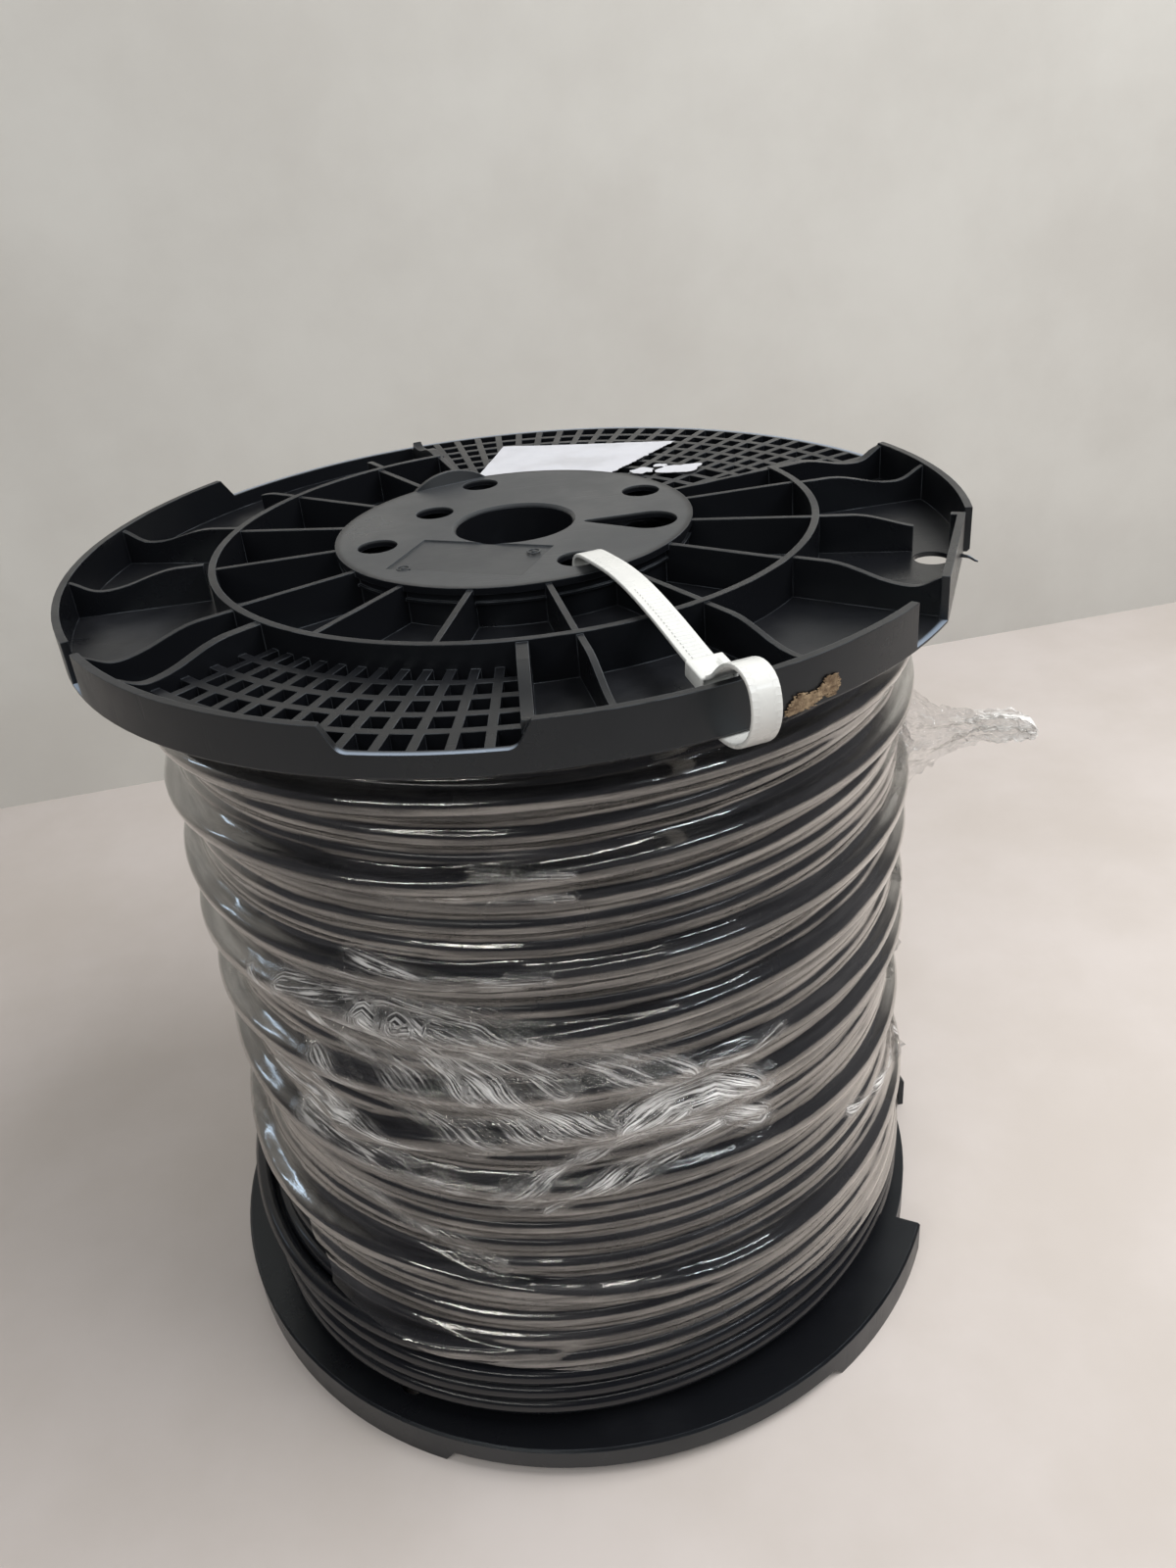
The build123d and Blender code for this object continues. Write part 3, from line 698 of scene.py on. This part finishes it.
def filmSheet():
    columns, rows = film["columns"], film["rows"]
    angles = np.linspace(0, 2 * math.pi, columns, endpoint=False)
    heights = np.linspace(deckLow + film["bottomGap"], deckHigh - film["topGap"], rows)
    signed = np.degrees((angles + math.pi) % (2 * math.pi) - math.pi)
    loose = crumpleField(*np.meshgrid(signed, (flangeTop - heights) / mm))[0]
    field = tautField(angles, heights, loose)
    # Fewer columns at the back, where the film is plain
    shown = (np.abs(signed + 80) < 80) | (np.arange(columns) % 3 == 0)
    angles, signed, field = angles[shown], signed[shown], field[:, shown]
    columns = len(angles)
    low = np.array(film["lowEdge"], float)
    foot = np.interp(signed, low[:, 0], low[:, 1]) * mm
    share = np.linspace(0, 1, rows)[:, None]
    lie = foot[None, :] + share * (heights[-1] - foot[None, :])
    reach = np.empty_like(lie)
    for column in range(columns):
        reach[:, column] = np.interp(lie[:, column], heights, field[:, column])
    turned = np.broadcast_to(angles, lie.shape)
    drop = (flangeTop - lie) / mm
    amount, creases, stroke = crumpleField(np.broadcast_to(signed, lie.shape), drop)
    streaky = gridNoise(turned / (2 * math.pi) * 48, drop / 2.6 + 0.8 * np.sin(turned * 3), 3, 48)
    reach = reach + film["wrinkle"] * streaky + film["crease"] * creases
    points = np.stack([reach * np.cos(turned), reach * np.sin(turned), lie], -1)
    return gridSheet("stretchFilm", points, turned / (2 * math.pi), amount, stroke, closed=True)


def gridSheet(name, points, around, amount, stroke, closed=False):
    # A sheet from rows and columns of points, with what its material reads
    rows, columns = points.shape[:2]
    faces = []
    for row in range(rows - 1):
        for column in range(columns if closed else columns - 1):
            after = (column + 1) % columns
            faces.append((row * columns + column, row * columns + after,
                          (row + 1) * columns + after, (row + 1) * columns + column))
    piece = meshPiece(name, points.reshape(-1, 3).tolist(), faces)
    layer = piece.data.uv_layers.new(name="around")
    loops = np.zeros(len(piece.data.loops), int)
    piece.data.loops.foreach_get("vertex_index", loops)
    u = around.ravel()[loops]
    if closed:
        seam = (np.arange(len(loops)) // 4) % columns == columns - 1
        u = np.where(seam & (u < 0.5), u + 1, u)
    v = points.reshape(-1, 3)[loops, 2] / (2 * math.pi * winding["right"])
    layer.data.foreach_set("uv", np.column_stack([u, v]).ravel())
    piece.data.attributes.new("crumple", "FLOAT", "POINT").data.foreach_set("value", amount.ravel())
    piece.data.attributes.new("stroke", "FLOAT_VECTOR", "POINT").data.foreach_set("vector", stroke.ravel())
    smoothShade(piece, 180)
    return piece


wrap = filmSheet()
onDrum(wrap, filmCoat("stretchFilm", filmLook["clear"]))
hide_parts("stretch_film")
print("film is on:", len(wrap.data.polygons))

# Loose end of the film, drawn out at the right and twisted to a knot. Each row: share of its length, half
# its width, the drop of its middle and how deep its folds are.
tail = {"side": -12.0, "root": 173 * mm, "reach": 68 * mm, "rows": 110, "columns": 90, "folds": 5.0,
        "crumple": 1.1 * mm,
        "shape": [(0, 31, 116, 1.0), (0.15, 25, 115, 1.6), (0.32, 15, 114, 2.6), (0.48, 8.5, 111, 3.4),
                  (0.64, 7.0, 109, 4.2), (0.82, 8.5, 109, 5.0), (0.94, 5.0, 111, 3.4), (1, 2.0, 114, 1.2)]}


def filmTail():
    share, across = np.meshgrid(np.linspace(0, 1, tail["rows"]), np.linspace(-1, 1, tail["columns"]),
                                indexing="ij")
    rows = np.array(tail["shape"], float)
    half, middle, depth = (np.interp(share, rows[:, 0], rows[:, index]) * mm for index in (1, 2, 3))
    ripple = gridNoise(share * 26, across * 9, 21)
    fold = np.sin(across * tail["folds"] * math.pi / 2 + 1.4 * np.sin(share * 6)) + 0.5 * ripple
    outward, aside, upward = (tail["crumple"] * gridNoise(share * along, across * over, seed)
                              for along, over, seed in ((20, 7, 22), (34, 14, 23), (30, 12, 24)))
    out = tail["root"] + share * tail["reach"] + outward * share
    sideways = depth * fold + aside
    height = flangeTop - middle + across * half + upward
    turn = math.radians(tail["side"])
    points = np.stack([out * math.cos(turn) - sideways * math.sin(turn),
                       out * math.sin(turn) + sideways * math.cos(turn), height], -1)
    amount = 0.08 + 0.4 * ramp(share, 0.35, 0.75) + 0.25 * np.abs(ripple)
    stroke = np.stack([share * 60, across * 20, 0 * share + 90], -1)
    return gridSheet("filmTail", points, share * 0.06, amount, stroke)


# Ragged edge of the film down the right side. Each row: drop and how far it stands off.
ragged = {"side": -19.0, "spread": 3.0, "rows": 240, "columns": 8, "reach": [
    (92, 1), (100, 5), (108, 7), (116, 3), (128, 1.5), (140, 5), (146, 3), (160, 1), (176, 3.5),
    (186, 4.5), (194, 1.5), (210, 4), (221, 6), (232, 2), (250, 3.5), (262, 1), (280, 4), (292, 6),
    (304, 2), (326, 3), (340, 1)]}


def raggedEdge():
    table = np.array(ragged["reach"], float)
    drop, share = np.meshgrid(np.linspace(table[0, 0], table[-1, 0], ragged["rows"]),
                              np.linspace(0, 1, ragged["columns"]), indexing="ij")
    reach = np.interp(drop, table[:, 0], table[:, 1]) * (1 + 0.35 * gridNoise(drop / 2.4, share * 2, 31))
    heights = flangeTop - drop[:, 0] * mm
    base = layerRadius(math.radians(ragged["side"]), heights)[:, None]
    out = base + (reach * share + 0.5 * gridNoise(drop / 3, share * 4, 32)) * mm
    swing = ragged["spread"] * (1 - share) + 0.8 * gridNoise(drop / 6, share * 3, 33)
    turned = np.radians(ragged["side"] + swing)
    points = np.stack([out * np.cos(turned), out * np.sin(turned), flangeTop - drop * mm], -1)
    amount = 0.2 + 0.5 * share * np.abs(gridNoise(drop / 4, share * 3, 34))
    stroke = np.stack([drop, share * 8, 0 * drop + 120], -1)
    return gridSheet("raggedEdge", points, share * 0.01, amount, stroke)


looseFilm = filmCoat("looseFilm", filmLook["looseClear"])
for loose, cut in ((filmTail(), (0.062, 0.07)), (raggedEdge(), (0.012, 0.26))):
    onDrum(loose, looseFilm)
print("loose film is on")


# Editing as by hand: choose faces by a test, then use an operator on them
def startEdit(piece, action="DESELECT"):
    pickOnly(piece)
    bpy.ops.object.mode_set(mode="EDIT")
    bpy.ops.mesh.select_mode(type="FACE")
    bpy.ops.mesh.select_all(action=action)


def selectFaces(piece, test):
    shape = bmesh.from_edit_mesh(piece.data)
    for face in shape.faces:
        face.select_set(bool(test(face)))
    shape.select_flush_mode()
    bmesh.update_edit_mesh(piece.data)


def endEdit():
    bpy.ops.object.mode_set(mode="OBJECT")


# Nylon tie, in its own upright plane: millimetres out from the hub hole and up from the flange's outer plane
tie = {"width": 10.8, "thickness": 1.8, "cell": 2.4, "track": 0.62, "groove": 0.45, "tooth": 0.3,
       "toothTaper": (0.6, 1, 0.96), "toothed": (72, 136), "edge": 0.6, "direction": math.radians(-74.2),
       "hole": (28.1, -57.1), "head": (121.5, -4.4), "headSize": (13, 6.5, 14.5), "headEdge": 0.825,
       "headTilt": math.radians(-8), "recess": (3.2, 1.0, 1.2), "mouth": (1.6, 2.5),
       "path": [(-2, -9), (-2.5, -1.5), (4, 3.4), (17, 4.9), (40, 6.9), (61, 6.1), (86, 2.4), (112, -2.9),
                (124, -4.4), (132, -0.8), (138, 5.2), (145, 9.3), (153, 10.6), (160, 7.4), (162.3, -1.5),
                (160, -10), (154, -16.5), (146, -20.2), (137, -21.4), (120, -21.4), (60, -21.4), (8, -21.4),
                (-1.5, -19.5), (-2, -13)]}


def tieStrap():
    # One cell of the strap with its tooth, repeated along the path and bent to it
    deselectAll()
    bpy.ops.mesh.primitive_cube_add(size=1)
    piece = bpy.context.object
    piece.name = "tieStrap"
    piece.scale = (tie["cell"], tie["thickness"], tie["width"])
    bakePlace(piece)
    startEdit(piece)
    bpy.ops.mesh.select_mode(type="EDGE")
    shape = bmesh.from_edit_mesh(piece.data)
    for edge in shape.edges:
        edge.select_set(abs((edge.verts[0].co - edge.verts[1].co).x) > tie["cell"] / 2)
    bmesh.update_edit_mesh(piece.data)
    bpy.ops.mesh.bevel(offset=tie["edge"], segments=3)
    bpy.ops.mesh.select_mode(type="FACE")
    selectFaces(piece, lambda face: abs(face.normal.x) > 0.9)
    bpy.ops.mesh.delete(type="FACE")
    selectFaces(piece, lambda face: face.normal.y > 0.95)
    bpy.ops.mesh.inset(thickness=tie["groove"])
    bpy.ops.transform.resize(value=(1, 1, tie["track"]))
    bpy.ops.mesh.extrude_region_move(TRANSFORM_OT_translate={"value": (0, tie["tooth"], 0)})
    bpy.ops.transform.resize(value=tie["toothTaper"])
    endEdit()
    piece.location.x = tie["cell"] / 2
    bakePlace(piece)
    line = bpy.data.curves.new("tiePath", "CURVE")
    line.dimensions = "2D"
    line.resolution_u = 12
    spline = line.splines.new("NURBS")
    spline.points.add(len(tie["path"]) - 1)
    for point, (out, up) in zip(spline.points, tie["path"]):
        point.co = (out, up, 0, 1)
    spline.order_u = 3
    spline.use_endpoint_u = True
    guide = bpy.data.objects.new("tiePath", line)
    bpy.context.scene.collection.objects.link(guide)
    rows = piece.modifiers.new("cells", "ARRAY")
    rows.fit_type = "FIT_CURVE"
    rows.curve = guide
    rows.use_merge_vertices = True
    rows.merge_threshold = 0.01
    applyModifiers(piece)
    low, high = tie["toothed"]
    for vertex in piece.data.vertices:
        if not low < vertex.co.x < high:
            vertex.co.y = min(vertex.co.y, tie["thickness"] / 2)
    bend = piece.modifiers.new("bend", "CURVE")
    bend.object = guide
    applyModifiers(piece)
    bpy.data.objects.remove(guide)
    return piece


def tieHead():
    deselectAll()
    bpy.ops.mesh.primitive_cube_add(size=1)
    piece = bpy.context.object
    piece.name = "tieHead"
    piece.scale = tie["headSize"]
    bakePlace(piece)
    startEdit(piece)
    selectFaces(piece, lambda face: face.normal.y > 0.9)
    border, bevel, depth = tie["recess"]
    bpy.ops.mesh.inset(thickness=border)
    bpy.ops.mesh.inset(thickness=bevel, depth=-depth)
    # The mouth that the strap leaves by, towards the rim
    selectFaces(piece, lambda face: face.normal.x > 0.9)
    bpy.ops.mesh.inset(thickness=tie["mouth"][0])
    bpy.ops.mesh.extrude_region_move(TRANSFORM_OT_translate={"value": (-tie["mouth"][1], 0, 0)})
    endEdit()
    bevelEdges(piece, tie["headEdge"])
    piece.rotation_euler.z = tie["headTilt"]
    piece.location = (*tie["head"], 0)
    bakePlace(piece)
    return piece


def cableTie():
    piece = joinPieces("cableTie", tieStrap(), tieHead())
    along = Vector((math.cos(tie["direction"]), math.sin(tie["direction"]), 0))
    up = Vector((0, 0, 1))
    stand = Matrix((along, up, along.cross(up))).transposed().to_4x4()
    origin = Vector((*tie["hole"], 0)) * mm + Vector((0, 0, flangeTop))
    piece.matrix_world = Matrix.Translation(origin) @ stand @ Matrix.Scale(mm, 4)
    bakePlace(piece)
    smoothShade(piece, 35)
    return piece


tiePiece = cableTie()
onDrum(tiePiece, whiteNylon())
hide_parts("cable_tie")
print("tie is on:", len(tiePiece.data.polygons))

# Blank label on the back lattice, its right side torn off, with scraps left behind. Plan millimetres.
labelSheet = {"centre": (37.8, 120.0), "size": (101.6, 76.2), "turn": math.radians(-15.5), "cells": (72, 54),
              "drop": 9.2, "tear": ((95.2, 143.1), (58.0, 98.8)), "rag": 1.3, "ragWidth": 2.5,
              "scrapRag": 0.45, "wave": 0.35, "thickness": 0.2 * mm,
              "scraps": [((71.3, 92.5), 6.5, 5.0), ((90.2, 89.5), 11.0, 7.5), ((81.0, 99.0), 3.5, 3.0)]}


def layOnLattice(piece):
    # Paper lies in low waves from bar to bar
    for vertex in piece.data.vertices:
        x, y = vertex.co.x, vertex.co.y
        rise = noise.noise(Vector((x / 16, y / 16, 3))) + 0.5 * noise.noise(Vector((x / 6, y / 6, 8)))
        vertex.co = (x * mm, y * mm, flangeTop + (labelSheet["wave"] * rise - labelSheet["drop"]) * mm)


def finishPaper(piece):
    thicken(piece, labelSheet["thickness"], 1)
    smoothShade(piece, 50)


def blankLabel():
    deselectAll()
    across, down = labelSheet["cells"]
    bpy.ops.mesh.primitive_grid_add(x_subdivisions=across, y_subdivisions=down, size=1)
    piece = bpy.context.object
    piece.name = "blankLabel"
    piece.scale = (*labelSheet["size"], 1)
    piece.rotation_euler.z = labelSheet["turn"]
    piece.location = (*labelSheet["centre"], 0)
    bakePlace(piece)
    # Tear: cut along the line, then the cut edge goes ragged
    head, foot = (Vector((*point, 0)) for point in labelSheet["tear"])
    run = (head - foot).normalized()
    outward = Vector((run.y, -run.x, 0))
    startEdit(piece, "SELECT")
    bpy.ops.mesh.bisect(plane_co=head, plane_no=outward, clear_outer=True)
    endEdit()
    for vertex in piece.data.vertices:
        away = (vertex.co - head).dot(outward)
        if away > -labelSheet["ragWidth"]:
            along = (vertex.co - head).dot(run)
            shift = noise.noise(Vector((along / 3.0, 5, 0))) + 0.6 * noise.noise(Vector((along / 1.1, 9, 0)))
            vertex.co += outward * labelSheet["rag"] * shift * (1 + away / labelSheet["ragWidth"])
    layOnLattice(piece)
    finishPaper(piece)
    return piece


def labelScraps():
    scraps = []
    for number, (centre, length, width) in enumerate(labelSheet["scraps"]):
        deselectAll()
        bpy.ops.mesh.primitive_circle_add(vertices=36, radius=1, fill_type="TRIFAN", location=(*centre, 0))
        scrap = bpy.context.object
        scrap.scale = (length, width, 1)
        bakePlace(scrap)
        middle = Vector((*centre, 0))
        for vertex in scrap.data.vertices:
            out = vertex.co - middle
            rag = noise.noise(out.normalized() * 1.7 + Vector((number * 5, 0, 0)))
            vertex.co = middle + out * (1 + labelSheet["scrapRag"] * rag)
        scraps.append(scrap)
    piece = joinPieces("labelScraps", *scraps)
    layOnLattice(piece)
    finishPaper(piece)
    return piece


paper = labelPaper()
label, scraps = blankLabel(), labelScraps()
for piece, cut, size in ((label, (0.1016, 0.0762), 0.0063), (scraps, (0.03, 0.02), 0.00043)):
    onDrum(piece, paper)
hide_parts("paper_label")
print("label is on")

# Scrap of brown paper stuck to the front rim. Each row: degrees and millimetres of drop, round its edge.
kraft = {"off": 0.15 * mm, "relief": 0.35 * mm, "thickness": 0.5 * mm, "cells": 46, "outline": [
    (-65.7, 18.4), (-65.1, 14.6), (-63.9, 11.6), (-62.6, 13.2), (-61.4, 12.6), (-60.3, 9.2), (-59.2, 9.6),
    (-58.6, 13.6), (-59.4, 17.4), (-60.9, 15.8), (-62.2, 18.0), (-63.8, 18.8)]}


def kraftScrap():
    # A grid over the scrap's outline on the rim, without the cells that fall outside it
    outline = [Vector((turned, drop, 0)) for turned, drop in kraft["outline"]]
    low = Vector((min(p.x for p in outline), min(p.y for p in outline), 0))
    high = Vector((max(p.x for p in outline), max(p.y for p in outline), 0))
    deselectAll()
    bpy.ops.mesh.primitive_grid_add(x_subdivisions=kraft["cells"], y_subdivisions=kraft["cells"], size=1,
                                    location=(low + high) / 2)
    piece = bpy.context.object
    piece.name = "kraftScrap"
    piece.scale = (*(high - low).xy, 1)
    bakePlace(piece)

    def outside(face):
        middle = face.calc_center_median()
        point = middle + Vector((0.5 * noise.noise(middle * 2.5), 1.4 * noise.noise(middle * 1.9), 0))
        hits = 0
        for first, second in zip(outline, outline[1:] + outline[:1]):
            if (first.y > point.y) != (second.y > point.y):
                hits += point.x < first.x + (point.y - first.y) * (second.x - first.x) / (second.y - first.y)
        return hits % 2 == 0

    startEdit(piece)
    selectFaces(piece, outside)
    bpy.ops.mesh.delete(type="FACE")
    endEdit()
    for vertex in piece.data.vertices:
        turned, drop = math.radians(vertex.co.x), vertex.co.y
        rough = 0.5 + 0.5 * noise.noise(vertex.co * 1.3)
        radius = flangeRadius + kraft["off"] + kraft["relief"] * rough
        vertex.co = (radius * math.cos(turned), radius * math.sin(turned), flangeTop - drop * mm)
    thicken(piece, kraft["thickness"], -1)
    startEdit(piece, "SELECT")
    bpy.ops.mesh.normals_make_consistent(inside=False)
    endEdit()
    smoothShade(piece, 60)
    return piece


onDrum(kraftScrap(), kraftResidue())
print("brown paper is on")

# Small damage of the moulding: a splinter that stands off the rim at the right, and two pin marks on the hub
# plate. Millimetres, with heights over the outer plane of the flange.
damage = {"splinter": ((186.5, -65.2, -14.5), (193.5, -68.5, -16.0)), "thick": (0.9, 0.35), "kink": 0.9,
          "rough": 0.25, "marks": ((-49, -47), (7, -43)), "ring": 2.7, "wall": 0.4, "pin": 1.1}


def rimSplinter():
    deselectAll()
    foot, tip = (Vector(point) * mm + Vector((0, 0, flangeTop)) for point in damage["splinter"])
    run = tip - foot
    thick, thin = (radius * mm for radius in damage["thick"])
    bpy.ops.mesh.primitive_cone_add(vertices=10, radius1=thick, radius2=thin, depth=run.length,
                                    location=(foot + tip) / 2,
                                    rotation=run.to_track_quat("Z", "Y").to_euler())
    piece = bpy.context.object
    piece.name = "rimSplinter"
    bakePlace(piece)
    startEdit(piece, "SELECT")
    bpy.ops.mesh.subdivide(number_cuts=5)
    endEdit()
    noise.seed_set(1)
    for vertex in piece.data.vertices:
        share = (vertex.co - foot).dot(run) / run.length_squared
        vertex.co.z += damage["kink"] * mm * math.sin(share * 5) * share
        vertex.co += damage["rough"] * mm * noise.noise_vector(vertex.co * 900)
    smoothShade(piece)
    return piece


def pinMarks():
    parts = []
    ring, wall, pin = (damage[part] * mm for part in ("ring", "wall", "pin"))
    for x, y in damage["marks"]:
        place = (x * mm, y * mm, flangeTop)
        deselectAll()
        bpy.ops.mesh.primitive_torus_add(major_segments=32, minor_segments=8, major_radius=ring,
                                         minor_radius=wall, location=place)
        parts.append(bpy.context.object)
        deselectAll()
        bpy.ops.mesh.primitive_uv_sphere_add(segments=16, ring_count=8, radius=pin, location=place)
        parts.append(bpy.context.object)
        parts[-1].scale.z = 0.6
    for part in parts:
        bakePlace(part)
    piece = joinPieces("pinMarks", *parts)
    smoothShade(piece)
    return piece


for piece in (rimSplinter(), pinMarks()):
    onDrum(piece, plastic)
print("small damage is on")
